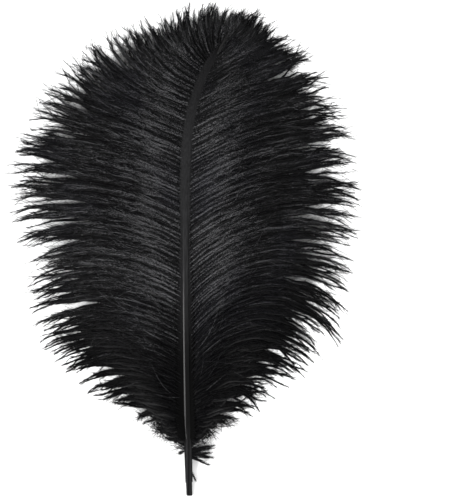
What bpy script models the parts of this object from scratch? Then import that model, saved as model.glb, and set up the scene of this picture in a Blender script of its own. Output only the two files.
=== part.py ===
# Ostrich plume lying on its hollow side: a cut quill that thins into the shaft of the vane,
# and a soft vane of pointed locks on both sides of it and round its tip, all grown as one piece.
# The frame is metres, +Y from the cut end to the tip, +Z up, with the surface it lies on at Z = 0.
import math

import bmesh
import bpy
import numpy as np

MM = 0.001

# Driving sizes, in millimetres
LENGTH = 275.0  # cut end of the quill to the tips of the top locks
CUT_END_Y = -LENGTH / 2
VANE_START_Y = -105.6  # where the lowest barbs leave the shaft
SHAFT_TIP_Y = 115.0  # the locks of the tip reach on from here
ARCH_HEIGHT = 13.0  # rise of the shaft's middle over a straight line between its ends
TIP_HOOK = 20.0  # how far the shaft's tip bends to the right
HOOK_START_Y = 30.0
LOWER_BOW = 2.1  # how far the cut end stands to the right of the shaft's middle
SHAFT_MIDDLE_X = 1.1

QUILL_WIDTH = 3.4
QUILL_DEPTH = 3.2
COLLAR_WIDTH = 3.9  # the shaft is widest where the vane starts
SHAFT_TIP_WIDTH = 2.2  # with the bases of its barbs, which run along it before they part from it
SHAFT_TAPER = 1.4  # over 1, so the shaft thins faster towards its tip
FLAT_TOP = 0.8  # height of the shaft's upper half, as a share of its lower half
SHEATH_STEP = 0.25  # the skin of the quill ends this far out from the bare cut end
SHEATH_START = 8.0  # length of the bare cut end
CUT_ROUNDING = 0.4  # the cut end's rim is rounded over this length
CUT_FACE = 0.86  # width of the cut face, as a share of the bare end's

LOCKS_PER_SIDE = 36
BASE_CROWDING = 1.2  # barbs stand closer together on the shaft towards the vane's lower end
TIP_CROWDING = 1.6  # and more so towards the tip, where they fan out
LOCK_CREST = 1.3  # rise of a lock's crest over the vane's even surface
LOCK_VALLEY = 0.8  # depth of the valley between two locks
FRINGE_THICKNESS = 2.0  # thickness of a lock where it starts to lie on the surface
LOCK_EDGE = 0.6  # and at its point
LOCK_REACH = 0.97  # how far the locks reach along their barbs, and how much that varies
REACH_SPREAD = 0.04
VANE_SWELL = 8.0  # how far the vane's crown rises over the shaft
ROOT_THICKNESS = 0.35  # vane below the shaft's centre line, as a share of the shaft's width
VANE_THICKNESS = 2.8  # away from the shaft, between the locks' crests and valleys
THICK_FROM = 0.2  # share of a barb's length where the vane has reached that thickness
DROOP_LENGTH = 30.0  # barbs at least this long reach down to the surface
LANDING = 0.85  # share of a barb's length where it comes down, and from where on it lies flat
DROOP_DELAY = 1.2  # the higher, the later a barb starts to droop
CROWN_NARROWING = 1.5  # the higher, the narrower the vane's crown
RELIEF_WIDENING = 0.6  # the lower, the further the locks' relief reaches along them

# Growth of the vane: where along the shaft, then the chord of the barb there in millimetres, its angle
# over straight outwards in degrees, and the angle by which the barb bows upwards over its chord.
# 0 is the lowest barb and 1 the barb that carries on from the shaft's tip.
ALONG = (0, 0.05, 0.12, 0.25, 0.45, 0.65, 0.80, 0.90, 0.96, 1)
LEFT_VANE = {
    "chord": (10, 27, 49, 74, 91, 99.5, 84, 57, 34.5, 21),
    "angle": (-13, -2, 3, 1, -5, 1, 14, 32, 53, 112),
    "bow": (10, 22, 30, 28, 27, 18, 2, -14, -14, 12),
}
RIGHT_VANE = {
    "chord": (10, 28, 47, 73, 93, 98, 87, 65, 42, 21),
    "angle": (-3, 0, 5, -1, -2, 1, 4, 12, 25, 68),
    "bow": (15, 32, 40, 48, 34, 20, 15, 10, 4, -12),
}

# Short stubs of barbs on the quill just below the vane, where it was stripped:
# height on the quill, side, length, angle over straight outwards, how far the end bends, width.
STUBS = (
    (-110.5, 1, 15.5, 10, 0.8, 2.2),
    (-111.5, 1, 16.0, 1, -0.5, 2.0),
    (-112.5, 1, 14.5, -8, -0.8, 2.0),
    (-113.5, 1, 15.0, -22, -2.0, 1.6),
    (-120.0, 1, 8.5, -55, -1.5, 1.2),
    (-109.0, -1, 9.0, 14, 1.5, 1.8),
    (-111.0, -1, 6.5, -20, -1.0, 1.4),
)

# Shares of a barb's length where the mesh has its rows, close together near the shaft and at the points
BODY_STATIONS = (0.0, 0.06, 0.18, 0.34, 0.52, 0.67)
POINT_STATIONS = (0.76, 0.84, 0.92, 1.0)
STATIONS = BODY_STATIONS + POINT_STATIONS
LAST = len(STATIONS) - 1
FIRST_NOTCH = len(BODY_STATIONS) - 1  # the first station where two locks may part
SHAFT_SIDES = 12
SHAFT_RINGS = 32


def smooth(at, places, values):
    """A smooth curve through the rows of a table, read at one place or many."""
    places = np.asarray(places, float)
    values = np.asarray(values, float)
    slopes = np.gradient(values, places)
    row = np.clip(np.searchsorted(places, at) - 1, 0, len(places) - 2)
    gap = places[row + 1] - places[row]
    t = (at - places[row]) / gap
    return (
        (2 * t**3 - 3 * t**2 + 1) * values[row]
        + (t**3 - 2 * t**2 + t) * gap * slopes[row]
        + (3 * t**2 - 2 * t**3) * values[row + 1]
        + (t**3 - t**2) * gap * slopes[row + 1]
    )


def shaft_x(y):
    """The shaft bows a little to the right below its middle, and its tip hooks to the right."""
    below = max(0.0, HOOK_START_Y - y) / (HOOK_START_Y - CUT_END_Y)
    above = max(0.0, y - HOOK_START_Y) / (SHAFT_TIP_Y - HOOK_START_Y)
    return SHAFT_MIDDLE_X + LOWER_BOW * below**2 + TIP_HOOK * above**3


def shaft_z(y):
    """The shaft is a flat arch that stands on its cut end and comes down again at its tip."""
    t = (y - CUT_END_Y) / (SHAFT_TIP_Y - CUT_END_Y)
    return QUILL_DEPTH / 2 + ARCH_HEIGHT * 4 * t * (1 - t)


def shaft_width(y):
    """Quill, a slight collar where the vane starts, then a long taper."""
    if y < VANE_START_Y:
        t = (y - CUT_END_Y) / (VANE_START_Y - CUT_END_Y)
        return QUILL_WIDTH + (COLLAR_WIDTH - QUILL_WIDTH) * t
    t = (y - VANE_START_Y) / (SHAFT_TIP_Y - VANE_START_Y)
    return COLLAR_WIDTH + (SHAFT_TIP_WIDTH - COLLAR_WIDTH) * t**SHAFT_TAPER


def vane_point(side, place, s, relief):
    """Plan place and the heights of the vane's top and underside, at a share s of the barb's length.

    relief is how far the top stands over the vane's even surface where its locks are thickest.
    """
    rows = LEFT_VANE if side < 0 else RIGHT_VANE
    along = 1 - (1 - place**BASE_CROWDING) ** TIP_CROWDING
    chord = float(smooth(along, ALONG, rows["chord"]))
    angle = math.radians(float(smooth(along, ALONG, rows["angle"])))
    bow = math.radians(float(smooth(along, ALONG, rows["bow"])))
    root_y = VANE_START_Y + (SHAFT_TIP_Y - VANE_START_Y) * along
    forward = chord * s
    rise = chord * math.tan(bow) * s * (1 - s)
    x = shaft_x(root_y) + side * (forward * math.cos(angle) - rise * math.sin(angle))
    y = root_y + forward * math.sin(angle) + rise * math.cos(angle)

    inner = min(1.0, s)
    down = min(1.0, s / LANDING)
    flat = (inner - LANDING) / (1 - LANDING) if inner > LANDING else 0.0
    root_z = shaft_z(root_y)
    reach = min(1.0, chord / DROOP_LENGTH)
    fall = 1 - (1 - (1 - down * down) ** DROOP_DELAY) * reach
    crown = VANE_SWELL * reach * (4 * down * (1 - down)) ** CROWN_NARROWING
    fringe = FRINGE_THICKNESS * down - (FRINGE_THICKNESS - LOCK_EDGE) * flat
    even = root_z * fall + crown + fringe
    root_thickness = ROOT_THICKNESS * shaft_width(root_y)
    thickness = root_thickness + (VANE_THICKNESS - root_thickness) * min(1.0, inner / THICK_FROM)
    underside = max(0.0, even - thickness + (thickness - LOCK_EDGE) * flat)
    top = even + relief * reach * (4 * inner * (1 - inner)) ** RELIEF_WIDENING
    return x, y, max(top, underside + LOCK_EDGE), underside


def lock_edge_places():
    """Where one lock ends and the next starts, a little unevenly, as shares of the way to the tip."""
    places = [0.0]
    for k in range(1, LOCKS_PER_SIDE):
        places.append((k + 0.2 * math.sin(2.4 * k)) / LOCKS_PER_SIDE)
    return places + [1.0]


def notch_station(edge):
    """How far out the two locks beside an edge stay together. The vane's lowest edge is free all along."""
    if edge == 0:
        return 0
    return FIRST_NOTCH + (edge * 7) % 3


class VaneMesh:
    """Top and underside of the vane, sewn into one closed surface as its points are added."""

    def __init__(self):
        self.points = []
        self.faces = []
        self.known = {}

    def corner(self, key, place):
        """The numbers of the top and underside points with this key."""
        if key not in self.known:
            x, y, top, underside = place
            self.known[key] = (len(self.points), len(self.points) + 1)
            self.points += [(x * MM, y * MM, top * MM), (x * MM, y * MM, underside * MM)]
        return self.known[key]

    def face(self, *corners):
        """A face, with repeated corners left out, and nothing where fewer than three are left."""
        kept = list(dict.fromkeys(corners))
        if len(kept) > 2:
            self.faces.append(kept)

    def strip(self, first, second, i):
        """One cell of the top and the same cell of the underside, between two lines of corners."""
        a, b, c, d = first[i], first[i + 1], second[i + 1], second[i]
        self.face(a[0], b[0], c[0], d[0])
        self.face(d[1], c[1], b[1], a[1])

    def wall(self, line, i):
        """The side of a free edge, from top to underside."""
        self.face(line[i][0], line[i + 1][0], line[i + 1][1], line[i][1])


def crest_place(side, lock, places, station):
    """A lock's crest runs midway between its edges, and some locks reach further than others."""
    s = STATIONS[station]
    middle = (places[lock] + places[lock + 1]) / 2
    if s > STATIONS[-3]:
        s *= LOCK_REACH + REACH_SPREAD * math.sin(2.1 * lock + side)
    return vane_point(side, middle, s, LOCK_CREST)


def edge_place(side, lock, edge, places, station):
    """An edge follows its own barb up to the notch, and from there closes in on the lock's crest."""
    s = STATIONS[station]
    x, y, top, underside = vane_point(side, places[edge], s, -LOCK_VALLEY)
    notch = STATIONS[notch_station(edge)]
    if s > notch:
        share = ((s - notch) / (1 - notch)) ** 0.9
        centre = crest_place(side, lock, places, station)
        x += (centre[0] - x) * share
        y += (centre[1] - y) * share
        top += (centre[2] - top) * share
        underside += (centre[3] - underside) * share
    return x, y, top, underside


def edge_line(mesh, side, lock, edge, places):
    """Corners along one edge of a lock: shared with its neighbour up to the notch, its own beyond."""
    line = []
    for station in range(LAST):
        shared_side = 0 if station == 0 or edge == LOCKS_PER_SIDE else side
        key = ("edge", shared_side, edge, station)
        if station > notch_station(edge):
            key = ("edge", side, edge, station, lock)
        line.append(mesh.corner(key, edge_place(side, lock, edge, places, station)))
    return line + [crest_corner(mesh, side, lock, places, LAST)]


def crest_corner(mesh, side, lock, places, station):
    shared_side = 0 if station == 0 else side
    key = ("crest", shared_side, lock, station)
    return mesh.corner(key, crest_place(side, lock, places, station))


def build_vane():
    """Both sides of the vane, which meet along the shaft and in the lock that carries on from its tip."""
    mesh = VaneMesh()
    places = lock_edge_places()
    for side in (-1, 1):
        for lock in range(LOCKS_PER_SIDE):
            low = edge_line(mesh, side, lock, lock, places)
            high = edge_line(mesh, side, lock, lock + 1, places)
            crest = [crest_corner(mesh, side, lock, places, i) for i in range(LAST + 1)]
            for i in range(LAST):
                mesh.strip(low, crest, i)
                mesh.strip(crest, high, i)
                if i >= notch_station(lock):
                    mesh.wall(low, i)
                if i >= notch_station(lock + 1):
                    mesh.wall(high, i)
    return new_object("feather", mesh.points, mesh.faces)


def new_object(name, points, faces):
    """An object from closed faces, with all of them turned to point outwards."""
    data = bpy.data.meshes.new(name)
    data.from_pydata(points, [], faces)
    shape = bmesh.new()
    shape.from_mesh(data)
    bmesh.ops.recalc_face_normals(shape, faces=shape.faces)
    shape.to_mesh(data)
    shape.free()
    obj = bpy.data.objects.new(name, data)
    bpy.context.scene.collection.objects.link(obj)
    return obj


def tube(name, rings):
    """A closed tube through rings of points that all have the same number of corners."""
    sides = len(rings[0])
    points = [point for ring in rings for point in ring]
    faces = []
    for r in range(len(rings) - 1):
        for i in range(sides):
            j = (i + 1) % sides
            faces.append((r * sides + i, r * sides + j, (r + 1) * sides + j, (r + 1) * sides + i))
    faces.append(tuple(range(sides)))
    faces.append(tuple(range(len(points) - sides, len(points))))
    return new_object(name, points, faces)


def shaft_ring(y, width, depth):
    """One cross-section of the shaft: an oval whose upper side is flattened."""
    ring = []
    for i in range(SHAFT_SIDES):
        turn = 2 * math.pi * i / SHAFT_SIDES
        up = math.sin(turn)
        height = depth / 2 * (FLAT_TOP * up if up > 0 else up)
        ring.append(((shaft_x(y) + width / 2 * math.cos(turn)) * MM, y * MM, (shaft_z(y) + height) * MM))
    return ring


def build_shaft():
    """Quill and shaft in one tapering tube, with the skin's step near the cut end."""
    depth_share = QUILL_DEPTH / QUILL_WIDTH
    step_y = CUT_END_Y + SHEATH_START
    skin_y = step_y + SHEATH_STEP
    bare = QUILL_WIDTH - 2 * SHEATH_STEP
    rings = [
        shaft_ring(CUT_END_Y, bare * CUT_FACE, bare * CUT_FACE * depth_share),
        shaft_ring(CUT_END_Y + CUT_ROUNDING, bare, bare * depth_share),
        shaft_ring(step_y, bare, bare * depth_share),
    ]
    for i in range(SHAFT_RINGS):
        y = skin_y + (SHAFT_TIP_Y - skin_y) * i / (SHAFT_RINGS - 1)
        rings.append(shaft_ring(y, shaft_width(y), shaft_width(y) * depth_share))
    return tube("shaft", rings)


def build_stub(number, row):
    """One flat pointed stub that starts inside the quill."""
    y, side, length, angle, bend, width = row
    rings = []
    for s in (0.0, 0.35, 0.7, 1.0):
        out = length * s
        x = shaft_x(y) + side * out * math.cos(math.radians(angle))
        along = y + out * math.sin(math.radians(angle)) + bend * s * s
        half = width / 2 * (1 - 0.8 * s * s)
        z = shaft_z(y) * (1 - 0.5 * s) + 0.11 * number
        thick = 0.5 * (1 - 0.4 * s)
        rings.append(
            [
                (x * MM, (along - half) * MM, z * MM),
                (x * MM, along * MM, (z - thick) * MM),
                (x * MM, (along + half) * MM, z * MM),
                (x * MM, along * MM, (z + thick) * MM),
            ]
        )
    return tube(f"stub_{number}", rings)


def fuse(body, part):
    """Grows one closed shape onto another."""
    union = body.modifiers.new(part.name, "BOOLEAN")
    union.operation = "UNION"
    union.solver = "EXACT"
    union.object = part
    part.hide_render = True
    part.display_type = "WIRE"


def feather_material():
    """Dyed black keratin: near black, soft, with a faint sheen."""
    material = bpy.data.materials.new("black_feather")
    material.use_nodes = True
    shader = material.node_tree.nodes["Principled BSDF"]
    shader.inputs["Base Color"].default_value = (0.012, 0.012, 0.014, 1)
    shader.inputs["Roughness"].default_value = 0.6
    shader.inputs["Metallic"].default_value = 0.0
    return material


def main():
    for obj in list(bpy.data.objects):
        bpy.data.objects.remove(obj)
    feather = build_vane()
    fuse(feather, build_shaft())
    for number, row in enumerate(STUBS):
        fuse(feather, build_stub(number, row))
    feather.data.materials.append(feather_material())


main()
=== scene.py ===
import bpy
import numpy as np
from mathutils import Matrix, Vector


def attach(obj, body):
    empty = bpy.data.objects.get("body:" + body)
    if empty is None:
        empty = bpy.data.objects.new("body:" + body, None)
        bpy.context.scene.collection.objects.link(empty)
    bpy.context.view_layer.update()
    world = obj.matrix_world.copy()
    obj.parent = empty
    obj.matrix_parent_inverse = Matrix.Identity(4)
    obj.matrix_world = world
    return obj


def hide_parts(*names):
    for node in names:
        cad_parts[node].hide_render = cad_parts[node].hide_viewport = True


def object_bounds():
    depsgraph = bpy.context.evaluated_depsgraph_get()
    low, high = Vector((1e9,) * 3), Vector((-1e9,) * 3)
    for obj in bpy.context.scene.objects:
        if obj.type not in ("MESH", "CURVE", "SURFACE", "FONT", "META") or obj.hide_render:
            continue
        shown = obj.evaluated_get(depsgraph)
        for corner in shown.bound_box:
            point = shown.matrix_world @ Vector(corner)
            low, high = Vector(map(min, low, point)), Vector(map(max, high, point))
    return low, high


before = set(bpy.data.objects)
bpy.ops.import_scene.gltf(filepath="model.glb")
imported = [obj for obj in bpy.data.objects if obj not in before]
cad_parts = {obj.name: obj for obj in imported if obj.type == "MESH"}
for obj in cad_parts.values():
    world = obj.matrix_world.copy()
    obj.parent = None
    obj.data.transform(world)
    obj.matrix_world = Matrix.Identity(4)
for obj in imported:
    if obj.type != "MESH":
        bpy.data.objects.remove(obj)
cadLow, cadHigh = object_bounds()
metre = 0.001  # one millimetre in metres
surfaceGap = 0.05  # mm that every strand stays over the surface it lies on

# Where the random draws of each form start, so that every run grows the same plume
seeds = {
    "tufts": 5,
    "barbs": 10,
    "ribs": 30,
    "pile": 40,
    "streaks": 60,
    "hairs": 70,
    "wisps": 85,
    "stubs": 90,
    "down": 99,
}

# Growth of the plume, as the solid has it
growth = {
    "cutEndY": -137.5,
    "vaneStartY": -105.6,
    "shaftTipY": 115.0,
    "archHeight": 13.0,
    "tipHook": 20.0,
    "hookStartY": 30.0,
    "lowerBow": 2.1,
    "shaftMiddleX": 1.1,
    "quillWidth": 3.4,
    "quillDepth": 3.2,
    "collarWidth": 3.9,
    "shaftTipWidth": 2.2,
    "shaftTaper": 1.4,
    "baseCrowding": 1.2,
    "tipCrowding": 1.6,
    "vaneSwell": 8.0,
    "rootThickness": 0.35,
    "vaneThickness": 2.8,
    "thickFrom": 0.2,
    "fringeThickness": 2.0,
    "fringeEdge": 0.6,
    "droopLength": 30.0,
    "landing": 0.85,
    "droopDelay": 1.2,
    "crownNarrowing": 1.5,
}

# Along the shaft from the lowest barb to the tip: chord of the barb there, its angle over
# straight outwards, and the angle by which it bows upwards over its chord
alongRows = (0, 0.05, 0.12, 0.25, 0.45, 0.65, 0.80, 0.90, 0.96, 1)
vaneRows = {
    -1: {
        "chord": (10, 27, 49, 74, 91, 99.5, 84, 57, 34.5, 21),
        "angle": (-13, -2, 3, 1, -5, 1, 14, 32, 53, 112),
        "bow": (10, 22, 30, 28, 27, 18, 2, -14, -14, 12),
    },
    1: {
        "chord": (10, 28, 47, 73, 93, 98, 87, 65, 42, 21),
        "angle": (-3, 0, 5, -1, -2, 1, 4, 12, 25, 68),
        "bow": (15, 32, 40, 48, 34, 20, 15, 10, 4, -12),
    },
}


# A smooth curve through the rows of a table: cubic pieces that share their slopes
def readRows(at, places, values):
    places = np.asarray(places, float)
    values = np.asarray(values, float)
    slopes = np.gradient(values, places)
    row = np.clip(np.searchsorted(places, at) - 1, 0, len(places) - 2)
    gap = places[row + 1] - places[row]
    t = (at - places[row]) / gap
    return (
        (2 * t**3 - 3 * t**2 + 1) * values[row]
        + (t**3 - 2 * t**2 + t) * gap * slopes[row]
        + (3 * t**2 - 2 * t**3) * values[row + 1]
        + (t**3 - t**2) * gap * slopes[row + 1]
    )


# 0 below low, 1 above high, and an even S between them
def easeStep(low, high, value):
    t = np.clip((value - low) / (high - low), 0, 1)
    return t * t * (3 - 2 * t)


# The shaft's middle: a square bow to the right below, a cubic hook to the right above
def shaftX(y):
    below = np.maximum(0, growth["hookStartY"] - y) / (growth["hookStartY"] - growth["cutEndY"])
    above = np.maximum(0, y - growth["hookStartY"]) / (growth["shaftTipY"] - growth["hookStartY"])
    return growth["shaftMiddleX"] + growth["lowerBow"] * below**2 + growth["tipHook"] * above**3


# Its height: half the quill's depth, plus a parabola between the cut end and the tip
def shaftZ(y):
    t = (y - growth["cutEndY"]) / (growth["shaftTipY"] - growth["cutEndY"])
    return growth["quillDepth"] / 2 + growth["archHeight"] * 4 * t * (1 - t)


# Its width: quill, a slight collar where the vane starts, then a long taper
def shaftWidth(y):
    quill = (y - growth["cutEndY"]) / (growth["vaneStartY"] - growth["cutEndY"])
    above = (y - growth["vaneStartY"]) / (growth["shaftTipY"] - growth["vaneStartY"])
    low = growth["quillWidth"] + (growth["collarWidth"] - growth["quillWidth"]) * quill
    taper = (growth["shaftTipWidth"] - growth["collarWidth"]) * np.clip(above, 0, 1) ** growth["shaftTaper"]
    return np.where(y < growth["vaneStartY"], low, growth["collarWidth"] + taper)


# Share of the way along the shaft at which a barb leaves it: they stand closer together low down,
# and closer still towards the tip
def barbRoot(place):
    along = 1 - (1 - place ** growth["baseCrowding"]) ** growth["tipCrowding"]
    return along, growth["vaneStartY"] + (growth["shaftTipY"] - growth["vaneStartY"]) * along


# Chord of the barb at a place, from its side's rows
def barbChord(side, place):
    return readRows(barbRoot(place)[0], alongRows, vaneRows[side]["chord"])


# Place on the vane for a barb (0 lowest, 1 at the tip) and a share s of its length: a chord from
# the shaft at the barb's angle and a parabola s(1 - s) above it for the bow. In height the vane
# rises to a crown beside the shaft, falls to the surface at the landing, and lies there to a thin
# fringe. Gives x, y, top and underside.
def vanePlace(side, place, s):
    rows = vaneRows[side]
    along, rootY = barbRoot(place)
    chord = readRows(along, alongRows, rows["chord"])
    angle = np.radians(readRows(along, alongRows, rows["angle"]))
    bow = np.radians(readRows(along, alongRows, rows["bow"]))
    forward = chord * s
    rise = chord * np.tan(bow) * s * (1 - s)
    x = shaftX(rootY) + side * (forward * np.cos(angle) - rise * np.sin(angle))
    y = rootY + forward * np.sin(angle) + rise * np.cos(angle)

    inner = np.clip(s, 0, 1)
    down = np.minimum(1, inner / growth["landing"])
    flat = np.maximum(0, inner - growth["landing"]) / (1 - growth["landing"])
    reach = np.minimum(1, chord / growth["droopLength"])
    fall = 1 - (1 - (1 - down**2) ** growth["droopDelay"]) * reach
    crown = growth["vaneSwell"] * reach * (4 * down * (1 - down)) ** growth["crownNarrowing"]
    fringe = growth["fringeThickness"] * down - (growth["fringeThickness"] - growth["fringeEdge"]) * flat
    top = shaftZ(rootY) * fall + crown + fringe
    rootDepth = growth["rootThickness"] * shaftWidth(rootY)
    depth = rootDepth + (growth["vaneThickness"] - rootDepth) * np.minimum(1, inner / growth["thickFrom"])
    underside = np.maximum(0, top - depth + (depth - growth["fringeEdge"]) * flat)
    return x, y, top, underside


# A mesh from points in millimetres and triangles. Its point attribute tone, from 0 for the
# deepest black to 1 for the palest grey, is what the materials tint it by; it holds wear and also painted
# light and shade.
def newPiece(name, parts, material):
    offsets = np.cumsum([0] + [len(part[0]) for part in parts[:-1]])
    points = np.concatenate([part[0] for part in parts])
    triangles = np.concatenate([part[1] + offset for part, offset in zip(parts, offsets)])
    tone = np.concatenate([part[2] for part in parts])
    mesh = bpy.data.meshes.new(name)
    mesh.vertices.add(len(points))
    mesh.vertices.foreach_set("co", (points * metre).astype(np.float32).ravel())
    mesh.loops.add(3 * len(triangles))
    mesh.loops.foreach_set("vertex_index", triangles.astype(np.int32).ravel())
    mesh.polygons.add(len(triangles))
    mesh.polygons.foreach_set("loop_start", np.arange(0, 3 * len(triangles), 3, dtype=np.int32))
    mesh.polygons.foreach_set("use_smooth", np.ones(len(triangles), bool))
    mesh.attributes.new("tone", "FLOAT", "POINT").data.foreach_set("value", tone.astype(np.float32))
    mesh.update(calc_edges=True)
    mesh.materials.append(material)
    piece = bpy.data.objects.new(name, mesh)
    bpy.context.scene.collection.objects.link(piece)
    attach(piece, "root")
    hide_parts("feather")
    print(f"{name}: {len(triangles)} triangles")
    return piece


# An sRGB hex colour as linear values: divided by 12.92 where dark, a power of 2.4 above
def linearColour(hexText):
    parts = [int(hexText[i : i + 2], 16) / 255 for i in (1, 3, 5)]
    return [c / 12.92 if c <= 0.04045 else ((c + 0.055) / 1.055) ** 2.4 for c in parts] + [1]


# A node with its settings, input values and links
def addNode(tree, kind, settings=None, inputs=None, links=None):
    node = tree.nodes.new(kind)
    for key, value in (settings or {}).items():
        setattr(node, key, value)
    for key, value in (inputs or {}).items():
        node.inputs[key].default_value = value
    for key, source in (links or {}).items():
        tree.links.new(source, node.inputs[key])
    return node


barbLook = {
    "black": "#020203",
    "charcoal": "#202021",
    "charcoalAt": 0.45,  # tone at which the black has turned to charcoal
    "greyLevel": "#626264",
    "blueBlack": "#20202c",
    "patchSize": 34.0,  # mm across a patch where the dye has a blue cast
    "barbuleSpacing": 0.62,  # mm; real barbules stand 0.2 mm apart, too fine to show
    "roughness": 0.5,
    "ior": 1.55,
    "specular": 0.036,
    "sheen": 0.02,
    "sheenRoughness": 0.4,
}


# Feather keratin, vat dyed black: the fibres are matt, cool grey where the tone is high, from wear
# and from painted light, with a blue cast in patches, so the vane reads as streaks of charcoal on black
def makeBarbMaterial():
    material = bpy.data.materials.new("vatDyedKeratin")
    material.use_nodes = True
    tree = material.node_tree
    shader = tree.nodes["Principled BSDF"]
    place = addNode(tree, "ShaderNodeTexCoord").outputs["Object"]
    tone = addNode(tree, "ShaderNodeAttribute", {"attribute_name": "tone"}).outputs["Fac"]
    barbules = addNode(
        tree,
        "ShaderNodeTexNoise",
        inputs={"Scale": 1 / (barbLook["barbuleSpacing"] * metre), "Detail": 1.0},
        links={"Vector": place},
    )
    speckle = addNode(
        tree,
        "ShaderNodeMapRange",
        inputs={"From Min": 0.34, "From Max": 0.66, "To Min": 0.3, "To Max": 1.75},
        links={"Value": barbules.outputs["Fac"]},
    )
    greyLevel = addNode(
        tree, "ShaderNodeMath", {"operation": "MULTIPLY"}, links={0: tone, 1: speckle.outputs["Result"]}
    )
    tint = addNode(tree, "ShaderNodeValToRGB", links={"Fac": greyLevel.outputs["Value"]})
    tint.color_ramp.elements[0].color = linearColour(barbLook["black"])
    tint.color_ramp.elements[1].color = linearColour(barbLook["greyLevel"])
    tint.color_ramp.elements.new(barbLook["charcoalAt"]).color = linearColour(barbLook["charcoal"])
    patches = addNode(
        tree,
        "ShaderNodeTexNoise",
        inputs={"Scale": 1 / (barbLook["patchSize"] * metre), "Detail": 2.0},
        links={"Vector": place},
    )
    cast = addNode(
        tree,
        "ShaderNodeMapRange",
        inputs={"From Min": 0.5, "From Max": 0.72, "To Min": 0.0, "To Max": 0.35},
        links={"Value": patches.outputs["Fac"]},
    )
    colour = addNode(
        tree,
        "ShaderNodeMix",
        {"data_type": "RGBA"},
        {7: linearColour(barbLook["blueBlack"])},
        {0: cast.outputs["Result"], 6: tint.outputs["Color"]},
    )
    dyed = addNode(
        tree,
        "ShaderNodeMix",
        {"data_type": "RGBA"},
        {6: linearColour(barbLook["black"])},
        {0: greyLevel.outputs["Value"], 7: colour.outputs[2]},
    )
    tree.links.new(dyed.outputs[2], shader.inputs["Base Color"])
    shader.inputs["Roughness"].default_value = barbLook["roughness"]
    shader.inputs["IOR"].default_value = barbLook["ior"]
    shader.inputs["Specular IOR Level"].default_value = barbLook["specular"]
    shader.inputs["Sheen Weight"].default_value = barbLook["sheen"]
    shader.inputs["Sheen Roughness"].default_value = barbLook["sheenRoughness"]
    return material


quillLook = {
    "base": "#060606",
    "streak": "#272728",
    "fibreSpacing": 0.25,  # mm between the long fibres in the horn
    "fibreStretch": 0.03,  # how slowly they change along the shaft
    "fibreRelief": 0.05,  # mm
    "glossRoughness": 0.15,
    "mattRoughness": 0.62,
    "glossEndsY": (-8.0, 28.0),  # the lower shaft is scraped smooth; above, the skin is matt
    "ior": 1.55,
    "glossSpecular": 0.055,
    "mattSpecular": 0.012,
}


# Quill horn, dyed black, with fine fibres along it. Low down the shaft is scraped smooth, and its
# highlight is a long bright line; its upper part and the barbs' roots are an even matt dark grey.
def makeQuillMaterial(name, smoothRoughness, smoothSpecular):
    material = bpy.data.materials.new(name)
    material.use_nodes = True
    tree = material.node_tree
    shader = tree.nodes["Principled BSDF"]
    place = addNode(tree, "ShaderNodeTexCoord").outputs["Object"]
    tone = addNode(tree, "ShaderNodeAttribute", {"attribute_name": "tone"}).outputs["Fac"]
    drawn = addNode(
        tree,
        "ShaderNodeMapping",
        inputs={"Scale": (1.0, quillLook["fibreStretch"], 1.0)},
        links={"Vector": place},
    )
    fibres = addNode(
        tree,
        "ShaderNodeTexNoise",
        inputs={"Scale": 1 / (quillLook["fibreSpacing"] * metre), "Detail": 2.0},
        links={"Vector": drawn.outputs["Vector"]},
    )
    streaks = addNode(
        tree, "ShaderNodeMath", {"operation": "MULTIPLY"}, links={0: fibres.outputs["Fac"], 1: tone}
    )
    tint = addNode(tree, "ShaderNodeValToRGB", links={"Fac": streaks.outputs["Value"]})
    tint.color_ramp.elements[0].position = 0.1
    tint.color_ramp.elements[0].color = linearColour(quillLook["base"])
    tint.color_ramp.elements[1].position = 0.8
    tint.color_ramp.elements[1].color = linearColour(quillLook["streak"])
    height = addNode(tree, "ShaderNodeSeparateXYZ", links={"Vector": place}).outputs["Y"]
    ends = {"From Min": quillLook["glossEndsY"][0] * metre, "From Max": quillLook["glossEndsY"][1] * metre}
    rough = addNode(
        tree,
        "ShaderNodeMapRange",
        inputs={**ends, "To Min": smoothRoughness, "To Max": quillLook["mattRoughness"]},
        links={"Value": height},
    )
    shine = addNode(
        tree,
        "ShaderNodeMapRange",
        inputs={**ends, "To Min": smoothSpecular, "To Max": quillLook["mattSpecular"]},
        links={"Value": height},
    )
    bump = addNode(
        tree,
        "ShaderNodeBump",
        inputs={"Strength": 0.08, "Distance": quillLook["fibreRelief"] * metre},
        links={"Height": fibres.outputs["Fac"]},
    )
    tree.links.new(tint.outputs["Color"], shader.inputs["Base Color"])
    tree.links.new(rough.outputs["Result"], shader.inputs["Roughness"])
    tree.links.new(bump.outputs["Normal"], shader.inputs["Normal"])
    shader.inputs["IOR"].default_value = quillLook["ior"]
    tree.links.new(shine.outputs["Result"], shader.inputs["Specular IOR Level"])
    return material


barbMaterial = makeBarbMaterial()
quillMaterial = makeQuillMaterial("scrapedQuillHorn", quillLook["glossRoughness"], quillLook["glossSpecular"])
rootMaterial = makeQuillMaterial("mattBarbRoots", quillLook["mattRoughness"], quillLook["mattSpecular"])
print("materials: dyed keratin for the barbs, scraped and matt horn for the shaft")


# Vectors divided by their own length
def unit(vectors):
    return vectors / np.maximum(np.linalg.norm(vectors, axis=-1, keepdims=True), 1e-9)


# Along, sideways and upward directions between two places of a line
def lineAxes(before, after):
    along = unit(after - before)
    sideways = unit(np.stack([-along[..., 1], along[..., 0], np.zeros(along.shape[:-1])], -1))
    return along, sideways, np.cross(along, sideways)


# Triangles of the wall between rings of points, two for each side from one ring to the next
def ringWalls(rings, sides):
    corner = np.arange(sides)
    low = np.arange(rings - 1)[:, None] * sides
    a, b = low + corner, low + (corner + 1) % sides
    c, d = b + sides, a + sides
    return np.concatenate([np.stack([a, b, c], -1), np.stack([a, c, d], -1)], 0).reshape(-1, 3)


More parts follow.
